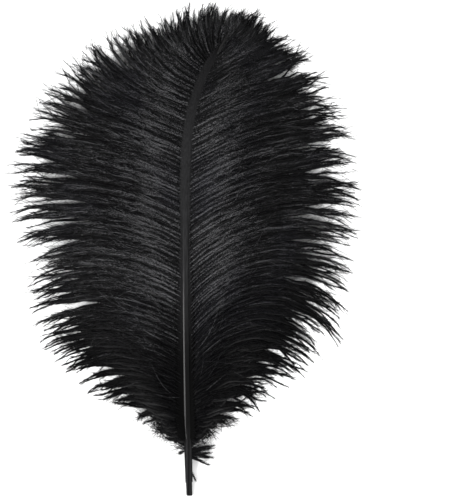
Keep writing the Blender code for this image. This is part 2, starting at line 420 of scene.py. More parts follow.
# Closed strands, one for each row of lines. The section has three corners, one up and two out to
# the sides: half a width times cosine sideways, half a height times sine upwards.
def strands(lines, halfWidths, halfHeights, tone):
    count, stations = lines.shape[:2]
    before = np.concatenate([lines[:, :1], lines[:, :-1]], 1)
    after = np.concatenate([lines[:, 1:], lines[:, -1:]], 1)
    along, sideways, up = lineAxes(before, after)
    turn = np.pi / 2 + np.arange(3) * 2 * np.pi / 3
    ring = sideways[:, :, None] * (np.cos(turn) * halfWidths[:, :, None])[..., None]
    ring = ring + up[:, :, None] * (np.sin(turn) * halfHeights[:, :, None])[..., None]
    points = (lines[:, :, None] + ring).reshape(-1, 3)
    points[:, 2] = np.maximum(points[:, 2], surfaceGap)

    last = 3 * stations - 3
    one = np.concatenate([ringWalls(stations, 3), [[0, 2, 1], [last, last + 1, last + 2]]])
    triangles = (np.arange(count)[:, None, None] * 3 * stations + one).reshape(-1, 3)
    return points, triangles, np.repeat(tone.reshape(-1), 3)


barbuleBend = 0.45  # share of its length at which a barbule turns from its first direction to its second


# Barbules of four faces: three corners at the root and a point, which lies where two straight parts
# in the directions first and second would lead
def barbuleShapes(root, first, second, length, width, tone):
    middle = root + first * length[:, None] * barbuleBend
    tip = middle + second * length[:, None] * (1 - barbuleBend)
    turn = np.arange(3) * 2 * np.pi / 3
    across = unit(np.stack([-first[:, 1], first[:, 0], np.zeros(len(first))], -1))
    over = np.cross(first, across)
    ring = across[:, None] * np.cos(turn)[:, None] + over[:, None] * np.sin(turn)[:, None]
    points = np.concatenate([root[:, None] + ring * width / 2, tip[:, None]], 1)
    one = np.array([[0, 2, 1], [3, 0, 1], [3, 1, 2], [3, 2, 0]])
    points[..., 2] = np.maximum(points[..., 2], surfaceGap)
    triangles = (np.arange(len(root))[:, None, None] * points.shape[1] + one).reshape(-1, 3)
    return points.reshape(-1, 3), triangles, np.repeat(tone, points.shape[1])


wearAndLightForm = {
    # outer: the vane's own grey away from the shaft, higher on the left as painted light from the left
    "outer": {-1: 0.38, 1: 0.3},
    # beside: a painted highlight within a few centimetres of the shaft, where the barbs rise to the light
    "beside": {-1: 0.29, 1: 0.33},
    "besideAt": 14.0,
    "besideWidth": 17.0,
    "downY": (-92.0, -22.0),
    "downShare": 0.03,
    "tipY": (55.0, 98.0),
    "tipLoss": 0.8,
    "tipShade": 0.08,  # share by which the tip is darker
    "patchDepth": 0.16,  # of two crossed waves of wear, some centimetres long
    "patchWaves": ((7.3, 11.0), (4.1, -8.0)),  # mm for a radian, along the shaft and along the barb
}


# Tone of the vane at a place: lighter within a few centimetres of the shaft by a bell curve, which is
# painted light where the barbs rise beside the shaft; darker outwards, with the left side lighter by painted
# light; much darker towards the lower end, a little darker at the tip, and patchy wear by the product of two
# sines
def wearAndLightTone(side, place, s):
    distance = s * barbChord(side, place)
    # painted highlight: a bell curve of extra lightness beside the shaft
    beside = np.exp(-(((distance - wearAndLightForm["besideAt"]) / wearAndLightForm["besideWidth"]) ** 2))
    rootY = barbRoot(place)[1]
    # darker towards the lower end
    lowerEndDarkening = wearAndLightForm["downShare"] + (1 - wearAndLightForm["downShare"]) * easeStep(*wearAndLightForm["downY"], rootY)
    atTip = easeStep(*wearAndLightForm["tipY"], rootY)
    besideTone = wearAndLightForm["beside"][side] * (1 - wearAndLightForm["tipLoss"] * atTip)
    (longY, longOut), (shortY, shortOut) = wearAndLightForm["patchWaves"]
    patch = np.sin(rootY / longY + distance / longOut + side)
    patch = patch * np.sin(rootY / shortY + distance / shortOut + 2 * side)
    wearAndLight = (wearAndLightForm["outer"][side] + besideTone * beside) * lowerEndDarkening
    return wearAndLight * (1 - wearAndLightForm["tipShade"] * atTip) * (1 + wearAndLightForm["patchDepth"] * patch)


# Length of the rim below each place, as a share of the whole rim of that side
placeRows = np.linspace(0, 1, 400)
rimRows = {}
for side in (-1, 1):
    rimX, rimY = vanePlace(side, placeRows, 0.9)[:2]
    rimSteps = np.hypot(np.diff(rimX), np.diff(rimY))
    rimRows[side] = np.concatenate([[0], np.cumsum(rimSteps)]) / rimSteps.sum()


# Places from shares of a side's barbs. Even steps along the shaft alone would leave the fan round
# the tip thin, so rimShare of the spacing follows the rim's length.
def spreadPlaces(side, share, rimShare):
    return np.interp(share, placeRows * (1 - rimShare) + rimRows[side] * rimShare, placeRows)


# One barb set is a layer of one side: how many barbs, how far their spacing follows the rim, how
# deep it lies between the vane's top and its underside (0 to 1), how unevenly its barbs leave the
# shaft, what share of their length they reach, and how worn they are
barbSets = {
    "upper": {
        "barbs": 116,
        "rimShare": 0.25,
        "depth": (0.0, 0.14),
        "jitter": 0.46,
        "reach": 0.955,
        "tone": 1.0,
    },
    "middle": {
        "barbs": 128,
        "rimShare": 0.6,
        "depth": (0.3, 0.6),
        "jitter": 0.4,
        "reach": 0.93,
        "tone": 0.5,
    },
    "lower": {
        "barbs": 132,
        "rimShare": 0.7,
        "depth": (0.7, 0.95),
        "jitter": 0.4,
        "reach": 0.9,
        "tone": 0.7,
    },
}
barbForm = {
    "tufts": 88,  # pointed tufts down each side
    "tuftGaps": (0.4, 1.6),
    "tuftRimShare": 0.72,  # the rest of their spacing follows the shaft, so the tip has finer ones
    "tuftShift": 0.18,  # how far the layers' tufts differ in place, in tuft widths
    "tuftLean": 0.6,  # in tuft widths, once for all layers and once for each
    "sharedReach": 0.03,
    "tuftReach": 0.025,
    "tuftStart": (0.65, 0.86),  # share of a barb's length where it turns to its tuft
    "tuftPull": (0.68, 0.95),
    "stations": 20,
    "rootRadius": 0.21,
    "tipRadius": 0.1,
    "skinGap": 0.2,  # mm that a barb's middle line keeps from the vane's top and from the surface
    "spareDepth": 0.6,  # mm of the vane's thickness that no barb reaches
    "freeShare": 0.18,  # barbs that join no tuft
    "freeLean": 1.7,
    "freeReach": (0.8, 0.99),
    "ownLean": 0.15,
    "ownReach": 0.03,
    "reachLimits": (0.76, 0.99),
    "swing": 0.6,  # mm that a barb wanders, and ripples
    "ripple": 0.3,
    "waves": (1.2, 2.6),
    "toneSpread": 0.18,
    "bareTip": 7.0,  # mm at most that a barb's end is bare of barbules
    "downyPlaces": (0.1, 0.34),  # the down of the lower end turns into the vane here
    "tipPlaces": (0.68, 0.88),  # and the vane into the close tufts of the tip
    "longPlaces": (0.02, 0.07, 0.14, 0.36),  # barbs between these reach further
    "longShare": 0.14,
    "sweep": {-1: 0.06, 1: 0.09},  # how far forwards of its root a barb ends, as a share of the places
}


# Place at which a barb meets the rim: forwards of its root by half a sine along the shaft
def rimPlace(side, place):
    return place + barbForm["sweep"][side] * np.sin(np.pi * place)


# Grown-in chances of every barb of a set, drawn once: where on the rim it would end, which tuft it
# joins there and how firmly, how far it reaches, how deep it lies and how it wanders. The tufts
# stand at uneven gaps, nearly the same in every layer, and each leans to one side.
def growBarbs(side, setName, seed):
    rng = np.random.default_rng(seed)
    form = barbSets[setName]
    tufts, count = barbForm["tufts"], form["barbs"]
    shared = np.random.default_rng(seeds["tufts"] + side)
    gaps = shared.uniform(*barbForm["tuftGaps"], tufts + 1)
    sharedReach = shared.normal(0, barbForm["sharedReach"], tufts)
    sharedLean = shared.normal(0, barbForm["tuftLean"], tufts)
    shift = rng.normal(0, barbForm["tuftShift"], tufts) / tufts
    tuftShare = np.clip(np.cumsum(gaps)[:-1] / gaps.sum() + shift, 0, 1)
    tuftPlace = spreadPlaces(side, tuftShare, barbForm["tuftRimShare"])
    tuftRim = np.interp(tuftPlace, placeRows, rimRows[side])
    tuftReach = form["reach"] + sharedReach + rng.normal(0, barbForm["tuftReach"], tufts)
    tuftAtTip = easeStep(*barbForm["tipPlaces"], tuftPlace)
    tuftLean = (sharedLean + rng.normal(0, barbForm["tuftLean"], tufts)) / tufts * (1 - 0.6 * tuftAtTip)
    tuftStart = rng.uniform(*barbForm["tuftStart"], tufts) + 0.05 * tuftAtTip
    share = (np.arange(count) + 0.5 + rng.uniform(-1, 1, count) * form["jitter"]) / count
    place = spreadPlaces(side, share, form["rimShare"])
    rim = np.interp(rimPlace(side, place), placeRows, rimRows[side])
    tuft = np.abs(rim[:, None] - tuftRim[None, :]).argmin(1)
    free = rng.uniform(0, 1, count) < barbForm["freeShare"]
    freeLean = rng.normal(0, barbForm["freeLean"], count) / tufts
    ownLean = tuftLean[tuft] + rng.normal(0, barbForm["ownLean"], count) / tufts
    ownReach = tuftReach[tuft] + rng.normal(0, barbForm["ownReach"], count)
    downy = 1 - easeStep(*barbForm["downyPlaces"], place)
    atTip = easeStep(*barbForm["tipPlaces"], place)
    reach = np.where(free, rng.uniform(*barbForm["freeReach"], count), ownReach)
    reach = np.clip(reach, *barbForm["reachLimits"])
    longer = easeStep(*barbForm["longPlaces"][:2], place) * (1 - easeStep(*barbForm["longPlaces"][2:], place))
    return {
        "side": side,
        "count": count,
        "place": place,
        "rootRim": np.interp(place, placeRows, rimRows[side]),
        "rim": rim,
        "tuftRim": np.clip(tuftRim[tuft] + rng.normal(0, 0.1, count) / tufts, 0, 1),
        "pull": np.where(free, 0.0, rng.uniform(*barbForm["tuftPull"], count)) * (1 - 0.35 * atTip),
        "pullStart": tuftStart[tuft],
        "lean": np.where(free, freeLean, ownLean),
        "reach": reach * (1 + barbForm["longShare"] * longer),
        "depth": rng.uniform(*form["depth"], count),
        "swing": rng.normal(0, barbForm["swing"], count) * (1 + downy - 0.6 * atTip),
        "ripple": rng.normal(0, barbForm["ripple"], count) * (1 - 0.6 * atTip),
        "waves": rng.uniform(*barbForm["waves"], count) * (1 + 0.5 * downy),
        "phase": rng.uniform(0, 2 * np.pi, count),
        "bare": rng.uniform(0, barbForm["bareTip"], count) * (1 - 0.75 * np.maximum(downy, atTip)),
        "downy": downy,
        "tone": form["tone"] * np.exp(rng.normal(0, barbForm["toneSpread"], count)),
    }


# Tone of the barbs at a share s of their length: the vane's wear and painted light, times each barb's own
def barbTone(barbs, which, s):
    return wearAndLightTone(barbs["side"], barbs["place"][which], s) * barbs["tone"][which]


# Middle line of the barbs: each moves evenly forwards over the vane's own lines, from its root's to
# its rim's, then towards its tuft by an even S and to its lean by s cubed. A sine that grows
# outwards makes it wander and a quicker one ripple, and it lies at a share depth of the vane's
# thickness below the top.
def barbLine(barbs, which, s):
    side = barbs["side"]
    pull = barbs["pull"][which] * easeStep(barbs["pullStart"][which], 1.0, s)
    rim = barbs["rootRim"][which] * (1 - s) + barbs["rim"][which] * s
    rim = rim * (1 - pull) + barbs["tuftRim"][which] * pull + barbs["lean"][which] * s**3
    place = np.interp(rim, rimRows[side], placeRows)
    x, y, top, underside = vanePlace(side, place, s * barbs["reach"][which])
    turn = barbs["waves"][which] * 2 * np.pi * s + barbs["phase"][which]
    wander = barbs["swing"][which] * s * np.sin(turn)
    wander = wander + barbs["ripple"][which] * easeStep(0.02, 0.15, s) * np.sin(3.3 * turn)
    gap = barbForm["skinGap"]
    thick = np.maximum(top - underside - barbForm["spareDepth"], gap)
    z = top - gap - thick * barbs["depth"][which]
    return np.stack([x, y + wander, np.maximum(z, gap)], -1)


# Along, sideways and upward directions at a share s of the barbs
def barbAxes(barbs, which, s, step=0.01):
    return lineAxes(barbLine(barbs, which, s - step), barbLine(barbs, which, s + step))


# Rami: each barb's own stem, a thin tube that tapers to a hair
def makeRami(barbs):
    count, stations = barbs["count"], barbForm["stations"]
    which = np.repeat(np.arange(count)[:, None], stations, 1)
    s = np.broadcast_to(np.linspace(0, 1, stations) ** 0.9, (count, stations))
    lines = barbLine(barbs, which, s)
    radii = barbForm["rootRadius"] + (barbForm["tipRadius"] - barbForm["rootRadius"]) * s**0.8
    return strands(lines, radii, radii, barbTone(barbs, which, s))


matForm = {
    "stations": 14,
    "halfWidth": 1.8,
    "rootHalfWidth": 0.9,
    "halfHeight": 0.35,
    "sink": {"upper": 1.1, "middle": 0.5, "lower": 0.4},  # mm below its barb
    "fullFrom": 0.12,  # shares of its length between which it is widest
    "thinFrom": 0.5,
    "bareEnd": 1.2,  # mm that a barb stands out of its mat, besides its bare tip
    "shortChord": 26.0,  # shorter barbs have narrower mats
    "downMore": 0.35,  # how much wider they are in the down
    "tone": 0.55,
}


# Matted barbules under each barb: a flat lock, widest halfway and drawn to a point before the
# barb's end, which closes the vane's body where barbules lie pressed together
def makeMats(barbs, setName):
    count, stations = barbs["count"], matForm["stations"]
    which = np.repeat(np.arange(count)[:, None], stations, 1)
    s = np.broadcast_to(np.linspace(0, 1, stations), (count, stations))
    chord = barbChord(barbs["side"], barbs["place"])[which]
    downy = barbs["downy"][which]
    bare = 0.6 * barbs["bare"][which] + matForm["bareEnd"]
    lines = barbLine(barbs, which, s * np.clip(1 - bare / np.maximum(chord, 16), 0.4, 1))
    lines[..., 2] = np.maximum(lines[..., 2] - matForm["sink"][setName], 0.25)
    thinning = np.maximum(s - matForm["thinFrom"], 0) / (1 - matForm["thinFrom"])
    swelling = easeStep(0.0, matForm["fullFrom"], s) * (1 - 0.98 * thinning)
    broad = np.minimum(1, chord / matForm["shortChord"])
    width = matForm["rootHalfWidth"] + (matForm["halfWidth"] - matForm["rootHalfWidth"]) * broad
    width = width * (1 + matForm["downMore"] * downy)
    tone = wearAndLightTone(barbs["side"], barbs["place"][which], s) * matForm["tone"]
    return strands(lines, width * swelling + 0.04, matForm["halfHeight"] * (0.3 + 0.7 * swelling), tone)


ribForm = {
    "from": 2.6,  # mm from the shaft's middle, and as far out as the ribs are crisp
    "to": 25.0,
    "bareY": (-46.0, 18.0),  # below here the bases of the barbs are bare for longer
    "bareLeft": 3.0,
    "bareRight": 1.4,
    "spacing": 0.36,
    "length": 1.35,
    "endLength": 3.0,
    "width": 0.36,
    "opening": 40,
    "endOpening": 26,
    "chordShare": 0.55,  # of a short barb, at most
    "toneSpread": 0.34,
}


# Length from the shaft's middle over which the barbs' bases are bare and run together
def bareBase(side, place):
    low = 1 - easeStep(*ribForm["bareY"], barbRoot(place)[1])
    return ribForm["from"] + (ribForm["bareLeft"] if side < 0 else ribForm["bareRight"]) * low


# Ribs beside the shaft: each upper barb carries a double row of short barbules at even steps,
# swept forwards and up like the pile of a ribbon, so that it reads as a separate ridge
def makeRibs(barbs, seed):
    rng = np.random.default_rng(seed)
    side = barbs["side"]
    steps = np.arange(ribForm["from"], ribForm["to"], ribForm["spacing"])
    which = np.repeat(np.arange(barbs["count"]), 2 * len(steps))
    distance = np.tile(np.repeat(steps, 2), barbs["count"]) + rng.normal(0, 0.1, len(which))
    hand = np.tile([-1.0, 1.0], len(which) // 2)
    bare = bareBase(side, barbs["place"])[which] * rng.uniform(0.5, 1.35, len(which))
    chord = barbChord(side, barbs["place"])[which]
    kept = (distance < ribForm["chordShare"] * chord) & (distance > bare)
    which, distance, hand = which[kept], distance[kept], hand[kept]
    s = distance / chord[kept]
    root = barbLine(barbs, which, s)
    along, sideways, up = barbAxes(barbs, which, s, 0.005)
    out = np.maximum(0, distance - ribForm["from"]) / (ribForm["to"] - ribForm["from"])
    length = ribForm["length"] + (ribForm["endLength"] - ribForm["length"]) * out**1.5
    length = length * rng.uniform(0.7, 1.25, len(which))
    narrowing = (ribForm["opening"] - ribForm["endOpening"]) * out
    opening = np.radians(rng.normal(ribForm["opening"], 8, len(which)) - narrowing)[:, None]
    lift = rng.normal(0.14, 0.16, len(which))[:, None]
    first = unit(along * np.cos(opening) + sideways * hand[:, None] * np.sin(opening) + up * lift)
    second = unit(first + along * 0.5 - up * 0.35)
    tone = barbTone(barbs, which, s) * np.exp(rng.normal(0.0, ribForm["toneSpread"], len(which)))
    return barbuleShapes(root, first, second, length, ribForm["width"], tone)


# Barbules elsewhere, by layer: how many, how long (mm), the angle to their barb, their width, the
# distance from the shaft where they start, and how they rise or hang
pileForm = {
    "upper": {"number": 25000, "length": 4.8, "opening": 27, "width": 0.3, "from": 12.0, "rise": 0.04},
    "middle": {"number": 10000, "length": 6.0, "opening": 34, "width": 0.34, "from": 1.0, "rise": -0.05},
    "lower": {"number": 18000, "length": 5.2, "opening": 32, "width": 0.32, "from": 1.0, "rise": -0.16},
}


pileShape = {
    "shaftShare": 0.3,  # length of the barbules beside the shaft, as a share
    "growOver": (2.0, 22.0),  # mm from the shaft over which they reach their full length
    "tipLoss": 0.6,  # and what they lose of it at the barb's end
    "tipFrom": 0.7,
    "lengths": (0.5, 1.4),
    "chordShare": 0.3,  # of a short barb, at most, and a millimetre
    "closing": 12,  # degrees by which they close up at the barb's end
    "hang": 0.12,
    "toneSpread": 0.5,
    "downMore": 0.8,  # how many more there are in the down
}


# They leave their barb at a narrow angle on alternate sides and bend a little towards it. They are
# short beside the shaft and at the barb's end, and stand closer in the down.
def makePile(barbs, setName, seed):
    rng = np.random.default_rng(seed)
    form = pileForm[setName]
    side = barbs["side"]
    chords = barbChord(side, barbs["place"])
    grown = np.maximum(chords * barbs["reach"] - barbs["bare"] - form["from"], 1.0)
    chance = grown * (1 + pileShape["downMore"] * barbs["downy"])
    which = rng.choice(barbs["count"], form["number"], p=chance / chance.sum())
    chord = chords[which]
    distance = np.minimum(form["from"], 0.5 * chord) + rng.uniform(0, 1, len(which)) * grown[which]
    s = np.clip(distance / (chord * barbs["reach"][which]), 0.02, 0.985)
    root = barbLine(barbs, which, s)
    along, sideways, up = barbAxes(barbs, which, s)
    hand = rng.choice((-1.0, 1.0), len(which))[:, None]
    shaftShare = pileShape["shaftShare"]
    nearShaft = shaftShare + (1 - shaftShare) * easeStep(*pileShape["growOver"], distance)
    nearTip = 1 - pileShape["tipLoss"] * easeStep(pileShape["tipFrom"], 1.0, s)
    length = form["length"] * nearShaft * nearTip * rng.uniform(*pileShape["lengths"], len(which))
    length = np.minimum(length, pileShape["chordShare"] * chord + 1)
    opening = rng.normal(form["opening"], 10, len(which)) - pileShape["closing"] * easeStep(0.6, 1.0, s)
    opening = np.radians(np.maximum(opening, 4))[:, None]
    rise = rng.normal(form["rise"], 0.1, len(which))[:, None]
    first = unit(along * np.cos(opening) + sideways * hand * np.sin(opening) + up * rise)
    flat = opening * 0.4
    second = along * np.cos(flat) + sideways * hand * np.sin(flat) + up * (rise - pileShape["hang"])
    tone = barbTone(barbs, which, s) * np.exp(rng.normal(-0.15, pileShape["toneSpread"], len(which)))
    return barbuleShapes(root, first, unit(second), length, form["width"], tone)


streakForm = {
    "number": 2200,
    "stations": 4,
    "length": (5.0, 17.0),
    "radius": (0.08, 0.16),
    "from": 7.0,  # mm from the shaft
    "aside": 0.9,  # mm that it lies beside its barb, and drifts away from it
    "drift": 1.0,
    "lift": 0.15,  # mm over the barb, and how much more in its middle
    "arch": 0.4,
    "toneSpread": 0.6,
}


# Streaks: long barbules that cling together and run with the barbs, which part the upper side into
# light and dark lines. Each follows its barb from a random place on, off to one side of it.
def makeStreaks(barbs, seed):
    rng = np.random.default_rng(seed)
    count, stations = streakForm["number"], streakForm["stations"]
    chords = barbChord(barbs["side"], barbs["place"]) * barbs["reach"]
    pick = rng.choice(barbs["count"], count, p=chords / chords.sum())
    which = np.repeat(pick[:, None], stations, 1)
    share = np.linspace(0, 1, stations)[None, :]
    chord = chords[pick][:, None]
    length = np.minimum(rng.uniform(*streakForm["length"], count), 0.35 * chords[pick])[:, None]
    room = np.maximum(chord - length - streakForm["from"], 2)
    start = streakForm["from"] + rng.uniform(0, 1.0, count)[:, None] * room
    s = np.clip((start + share * length) / chord, 0, 1)
    sideways = barbAxes(barbs, which, s)[1]
    offset = rng.normal(0, streakForm["aside"], count)[:, None] * (0.4 + 0.6 * share)
    drift = rng.normal(0, streakForm["drift"], count)[:, None] * share**2
    lines = barbLine(barbs, which, s) + sideways * ((offset + drift) * (1 - 0.6 * s))[..., None]
    arch = rng.uniform(0, streakForm["arch"], count)[:, None]
    lines[..., 2] += streakForm["lift"] + arch * np.sin(np.pi * share)
    radii = rng.uniform(*streakForm["radius"], count)[:, None] * (0.3 + 0.7 * np.sin(np.pi * share))
    tone = wearAndLightTone(barbs["side"], barbs["place"][which], s)
    tone = tone * np.exp(rng.normal(0.1, streakForm["toneSpread"], count))[:, None]
    return strands(lines, radii, radii, tone)


# Loose hairs are single long barbules. At the rim they leave their tuft to either side: most stand
# a few millimetres proud, short ones cross the gaps like lace, and a few curl. The wisps lie over
# the down of the lower end, paler than it.
hairForm = {
    "rim": {
        "number": 480,
        "stations": 4,
        "length": (8.0, 22.0),
        "proud": 5.5,
        "radius": 0.14,
        "from": (0.74, 0.98),
        "places": (0.0, 0.97),
        "yaw": 13,
        "bend": 0.13,
        "lift": 0.04,
        "tones": (0.08, 0.5),
    },
    "lace": {
        "number": 90,
        "stations": 4,
        "length": (4.0, 10.0),
        "proud": 1.0,
        "radius": 0.11,
        "from": (0.74, 0.93),
        "places": (0.0, 0.8),
        "yaw": 40,
        "bend": 0.45,
        "lift": 0.04,
        "tones": (0.05, 0.4),
    },
    "curls": {
        "number": 14,
        "stations": 10,
        "length": (8.0, 16.0),
        "proud": 2.0,
        "radius": 0.13,
        "from": (0.78, 0.95),
        "places": (0.05, 0.8),
        "yaw": 40,
        "bend": 1.1,
        "lift": 0.04,
        "tones": (0.05, 0.3),
    },
    "wisps": {
        "number": 64,
        "stations": 9,
        "length": (8.0, 24.0),
        "proud": 3.0,
        "radius": 0.13,
        "from": (0.1, 0.75),
        "places": (0.08, 0.36),
        "yaw": 16,
        "bend": 0.35,
        "lift": 0.08,
        "tones": (0.3, 0.7),
    },
}


# Hairs may stand 4 mm past the sides of the solid's own box, and 0.2 mm past its top
hairBox = np.array([cadLow, cadHigh]) / metre + [[-4.0, -4.0, -1.0], [4.0, 4.0, 0.2]]


# Each hair sets off at an angle to its barb, bends sideways by a square law and sinks again. One
# that would leave hairBox, a little more than the solid's own box, is shortened by what is past it.
def makeHairs(barbs, kind, seed):
    rng = np.random.default_rng(seed)
    form = hairForm[kind]
    count, stations = form["number"], form["stations"]
    lowest, highest = form["places"]
    inside = np.flatnonzero((barbs["place"] >= lowest) & (barbs["place"] <= highest))
    pick = rng.choice(inside, count)
    s = rng.uniform(*form["from"], count)
    root = barbLine(barbs, pick, s)
    along, sideways, up = barbAxes(barbs, pick, s)
    chord = barbChord(barbs["side"], barbs["place"][pick])
    room = np.maximum(chord * (1 - s * barbs["reach"][pick]) + form["proud"], 4)
    room = room * rng.uniform(0.55, 1.05, count)
    length = np.minimum(rng.uniform(*form["length"], count), room)[:, None, None]
    yaw = np.radians(rng.normal(0, form["yaw"], count))[:, None]
    bend = rng.normal(-0.04, form["bend"], count)
    lift = rng.normal(form["lift"], 0.04, count)[:, None]
    heading = unit(along * np.cos(yaw) + sideways * np.sin(yaw) + up * lift)
    share = np.linspace(0, 1, stations)[None, :, None]
    sinking = (form["lift"] + 0.08) * share**2
    path = heading[:, None] * share + sideways[:, None] * bend[:, None, None] * share**2
    path = path - up[:, None] * sinking
    end = root + length[:, 0] * path[:, -1]
    past = np.maximum(end - hairBox[1], 0) + np.maximum(hairBox[0] - end, 0)
    length = length * np.clip(1 - 1.3 * past.max(-1)[:, None, None] / length, 0.2, 1)
    lines = root[:, None] + length * path
    lines[..., 2] = np.clip(lines[..., 2], 0.15, hairBox[1, 2])
    radii = form["radius"] * (1 - 0.55 * share[..., 0]) * rng.uniform(0.6, 1.3, count)[:, None]
    tone = np.repeat(rng.uniform(*form["tones"], count)[:, None], stations, 1)
    return strands(lines, radii, radii, tone)


for side, hand in ((-1, "left"), (1, "right")):
    layerSeeds = {name: side + 5 * i for i, name in enumerate(barbSets)}
    grown = {name: growBarbs(side, name, seeds["barbs"] + layerSeeds[name]) for name in barbSets}
    newPiece(f"barbs_{hand}", [makeRami(barbs) for barbs in grown.values()], barbMaterial)
    mats = [makeMats(barbs, name) for name, barbs in grown.items()]
    newPiece(f"matted_barbules_{hand}", mats, barbMaterial)
    newPiece(f"ribs_{hand}", [makeRibs(grown["upper"], seeds["ribs"] + side)], barbMaterial)
    for name, barbs in grown.items():
        pile = makePile(barbs, name, seeds["pile"] + layerSeeds[name])
        newPiece(f"barbules_{hand}_{name}", [pile], barbMaterial)
    streaks = makeStreaks(grown["upper"], seeds["streaks"] + side)
    newPiece(f"streaks_{hand}", [streaks], barbMaterial)
    hairs = [makeHairs(grown["upper"], "wisps", seeds["wisps"] + side)]
    for name, barbs in grown.items():
        seed = seeds["hairs"] + layerSeeds[name]
        hairs += [makeHairs(barbs, kind, seed) for kind in ("rim", "lace", "curls")]
    newPiece(f"loose_hairs_{hand}", hairs, barbMaterial)

shaftForm = {
    "rings": 230,
    "topShare": 0.8,  # height of the upper half against the lower
    "vaneFromY": (-110.0, -96.0),  # the quill's oval turns into the shaft's flat-topped section here
    # upper half of the section from right to left, as shares of the half width, with the share of
    # the height there: scraped on the left shoulder in the lower shaft, and even in the upper shaft
    "across": np.array(
        [1, 0.985, 0.95, 0.88, 0.75, 0.5, 0.2, -0.1, -0.3]
        + [-0.42, -0.48, -0.54, -0.7, -0.86, -0.92, -0.96, -0.99]
    ),
    "scrapedTop": [0, 0.3, 0.56, 0.78, 0.92, 0.985, 1, 1, 1, 0.995, 0.98, 0.955, 0.89, 0.825, 0.79, 0.6, 0.3],
    "evenTop": [0, 0.3, 0.56, 0.78, 0.92, 0.985, 1, 1, 1, 0.99, 0.987, 0.982, 0.94, 0.8, 0.7, 0.52, 0.27],
    "lowerSides": 13,
    "grooveDepth": 0.5,  # groove under the shaft
    "grooveWidth": 0.55,
    "skinEndY": -129.6,  # the skin ends here, a third of a millimetre proud of the bare end
    "skinStep": 0.33,
    "skinRagged": (0.35, 0.2),  # mm that its edge runs in and out, in three waves and in seven
    "pitDepth": 2.4,  # the cut end is hollow
    "pitShare": 0.5,
    "nodeY": -104.7,
    "nodeHeight": 0.35,
    "nodeSpread": (0.9, 0.5),  # mm along the shaft, and share of its half width
    "nodeAcross": -0.3,
    "streaks": 6,  # dark and light streaks round the quill, which wind slowly
    "streakWind": 0.09,
    "streakDepth": 0.7,
    # its tone at heights along it, darker low down: the quill, the dark part above it, the grey one, the tip
    "toneY": (-138, -112, -102, -92, -60, -20, 10, 60, 100, 116),
    "tones": (0.6, 0.6, 0.4, 0.0, 0.25, 0.8, 1, 1, 0.7, 0.6),
}


# The shaft: a section carried along the shaft's line. The quill's is an oval. In the vane its top
# is flat, and its lower part has a sloping shoulder on the left that takes the light. The skin's
# step, a small node above the quill, a groove below and a pit in the cut end are added to it.
def makeShaft():
    cutY = growth["cutEndY"]
    pit = shaftForm["pitShare"]
    endY = [cutY + shaftForm["pitDepth"]] * 2 + [cutY + 0.25, cutY + 0.05, cutY, cutY + 0.12]
    endShare = [0.1, pit * 0.9, pit, pit + 0.07, 0.86, 0.97]
    fineY = np.linspace(cutY + 0.45, cutY + 10, 50)
    plainY = np.linspace(cutY + 10.5, growth["shaftTipY"], shaftForm["rings"])
    y = np.concatenate([endY, fineY, plainY])[:, None]
    share = np.concatenate([endShare, np.ones(len(y) - len(endShare))])[:, None]
    under = np.pi * (1 + np.arange(shaftForm["lowerSides"]) / shaftForm["lowerSides"])
    across = np.concatenate([shaftForm["across"], np.cos(under)])[None, :] + 0 * y
    oval = np.concatenate([np.sqrt(1 - shaftForm["across"] ** 2), np.sin(under)])[None, :]
    scraped = np.concatenate([shaftForm["scrapedTop"], np.sin(under)])[None, :]
    even = np.concatenate([shaftForm["evenTop"], np.sin(under)])[None, :]
    vaneTop = scraped + (even - scraped) * easeStep(*quillLook["glossEndsY"], y)
    inVane = easeStep(*shaftForm["vaneFromY"], y)
    lift = oval + (vaneTop - oval) * inVane
    turn = np.arctan2(oval, across)
    slow, quick = shaftForm["skinRagged"]
    ragged = slow * np.sin(3 * turn + 0.6) + quick * np.sin(7 * turn)
    bare = 1 - easeStep(-0.15, 0.15, y - shaftForm["skinEndY"] - ragged)
    skin = 2 * shaftForm["skinStep"] * (1 - bare) * (1 - inVane)
    width = (shaftWidth(y) + skin) * share
    tall = width * growth["quillDepth"] / growth["quillWidth"]
    x = shaftX(y) + width / 2 * across
    z = shaftZ(y) + tall / 2 * np.where(lift > 0, shaftForm["topShare"] * lift, lift)
    below = np.exp(-((width / 2 * across / shaftForm["grooveWidth"]) ** 2)) * (lift < -0.5)
    z = z + below * shaftForm["grooveDepth"] * inVane
    alongNode = (y - shaftForm["nodeY"]) / shaftForm["nodeSpread"][0]
    acrossNode = (across - shaftForm["nodeAcross"]) / shaftForm["nodeSpread"][1]
    z = z + shaftForm["nodeHeight"] * np.exp(-(alongNode**2 + acrossNode**2)) * (lift > 0)
    points = np.stack([x, y + 0 * x, z], -1).reshape(-1, 3)

    sides = across.shape[1]
    fan = np.arange(1, sides - 1)
    start = np.stack([0 * fan, fan, fan + 1], -1)
    end = start[:, ::-1] + (len(y) - 1) * sides
    streak = np.sin(shaftForm["streaks"] * turn + shaftForm["streakWind"] * y)
    greyLevel = readRows(y, shaftForm["toneY"], shaftForm["tones"])
    tone = (greyLevel * (1 + shaftForm["streakDepth"] * streak * (1 - inVane))).ravel()
    return points, np.concatenate([ringWalls(len(y), sides)[:, ::-1], start, end]), tone


newPiece("shaft", [makeShaft()], quillMaterial)

baseForm = {
    "rows": 800,
    "columns": 6,
    "fillet": 0.27,  # share of the shaft's width that it climbs above the stepY heights, and below
    "lowFillet": 0.1,
    "filletWidth": 2.0,  # mm beside the shaft
    "stepY": (6.0, 26.0),
    "toneY": (-95.0, 5.0),
    "ridge": 0.12,
    "edgeSink": 0.5,
    "thickness": 0.3,
}


